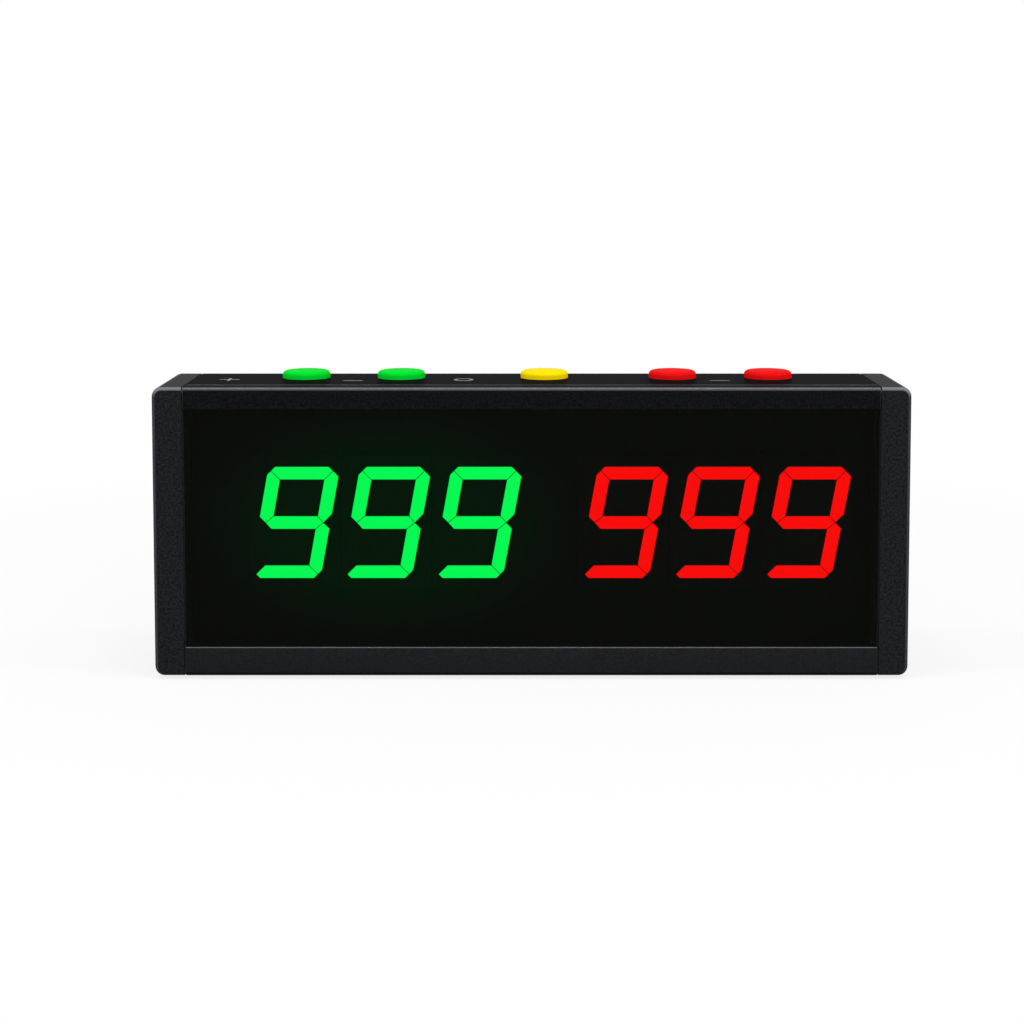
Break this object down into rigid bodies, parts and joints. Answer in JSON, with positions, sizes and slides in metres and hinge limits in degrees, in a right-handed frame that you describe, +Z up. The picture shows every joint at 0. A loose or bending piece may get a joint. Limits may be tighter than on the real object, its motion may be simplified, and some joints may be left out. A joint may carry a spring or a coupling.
{
  "type": "electronic scoreboard",
  "caption": "Tabletop electronic scoreboard with lit green and red seven-segment digits behind a smoked window and push buttons on top.",
  "frame": {"origin": "on the table under the middle of the case", "axes": "+X to the right as seen from the front, the display faces -Y, +Z up"},
  "size_m": [0.28, 0.045, 0.1122],
  "materials": {
    "rail": "black anodised extrusion, satin",
    "end_cap": "black moulded plastic, fine texture",
    "window": "smoked acrylic sheet, polished",
    "rear_panel": "black sheet, fine texture",
    "circuit_board": "green solder resist",
    "screw": "black zinc plated",
    "foot": "matt black rubber",
    "digit_housing": "black moulded plastic",
    "green_segment": "lit green epoxy",
    "red_segment": "lit red epoxy",
    "chip": "black moulded epoxy",
    "green_button": "green moulded plastic, satin",
    "yellow_button": "yellow moulded plastic, satin",
    "red_button": "red moulded plastic, satin",
    "plunger": "natural moulded plastic",
    "switch_plastic": "black moulded plastic",
    "rocker": "black moulded plastic, semi-gloss",
    "nut": "nickel plated brass",
    "red_lead": "red wire insulation",
    "black_lead": "black wire insulation",
    "ribbon": "grey ribbon cable jacket"
  },
  "bodies": {
    "case": {"top_rail": "rail", "bottom_rail": "rail", "left_end_cap": "end_cap", "right_end_cap": "end_cap", "front_window": "window", "rear_panel": "rear_panel", "display_board": "circuit_board", "button_board": "circuit_board", "left_front_top_screw": "screw", "left_front_bottom_screw": "screw", "left_rear_top_screw": "screw", "left_rear_bottom_screw": "screw", "right_front_top_screw": "screw", "right_front_bottom_screw": "screw", "right_rear_top_screw": "screw", "right_rear_bottom_screw": "screw", "front_left_foot": "foot", "front_right_foot": "foot", "rear_left_foot": "foot", "rear_right_foot": "foot", "green_digit_1_housing": "digit_housing", "green_digit_1_segments": "green_segment", "green_digit_2_housing": "digit_housing", "green_digit_2_segments": "green_segment", "green_digit_3_housing": "digit_housing", "green_digit_3_segments": "green_segment", "red_digit_1_housing": "digit_housing", "red_digit_1_segments": "red_segment", "red_digit_2_housing": "digit_housing", "red_digit_2_segments": "red_segment", "red_digit_3_housing": "digit_housing", "red_digit_3_segments": "red_segment", "controller_chip": "chip", "green_driver_chip": "chip", "red_driver_chip": "chip", "green_outer_switch": "switch_plastic", "green_inner_switch": "switch_plastic", "yellow_switch": "switch_plastic", "red_inner_switch": "switch_plastic", "red_outer_switch": "switch_plastic", "power_socket": "switch_plastic", "power_socket_nut": "nut", "power_switch_body": "switch_plastic", "socket_to_switch_lead": "red_lead", "switch_to_board_lead": "red_lead", "socket_to_board_lead": "black_lead", "ribbon_cable": "ribbon"},
    "green_outer_button": {"green_outer_button": "green_button", "green_outer_plunger": "plunger"},
    "green_inner_button": {"green_inner_button": "green_button", "green_inner_plunger": "plunger"},
    "yellow_button": {"yellow_button": "yellow_button", "yellow_plunger": "plunger"},
    "red_inner_button": {"red_inner_button": "red_button", "red_inner_plunger": "plunger"},
    "red_outer_button": {"red_outer_button": "red_button", "red_outer_plunger": "plunger"},
    "power_rocker": {"power_rocker": "rocker"}
  },
  "joints": [
    {"name": "green_outer_press", "type": "slide", "parent": "case", "child": "green_outer_button", "axis": [0, 0, 1], "range_m": [-0.0015, 0], "stiffness_N_per_m": 500},
    {"name": "green_inner_press", "type": "slide", "parent": "case", "child": "green_inner_button", "axis": [0, 0, 1], "range_m": [-0.0015, 0], "stiffness_N_per_m": 500},
    {"name": "yellow_press", "type": "slide", "parent": "case", "child": "yellow_button", "axis": [0, 0, 1], "range_m": [-0.0015, 0], "stiffness_N_per_m": 500},
    {"name": "red_inner_press", "type": "slide", "parent": "case", "child": "red_inner_button", "axis": [0, 0, 1], "range_m": [-0.0015, 0], "stiffness_N_per_m": 500},
    {"name": "red_outer_press", "type": "slide", "parent": "case", "child": "red_outer_button", "axis": [0, 0, 1], "range_m": [-0.0015, 0], "stiffness_N_per_m": 500},
    {"name": "power_rocker_tilt", "type": "hinge", "parent": "case", "child": "power_rocker", "pos_m": [-0.07, 0.0195, 0.0352], "axis": [1, 0, 0], "range_deg": [-14, 0]}
  ]
}
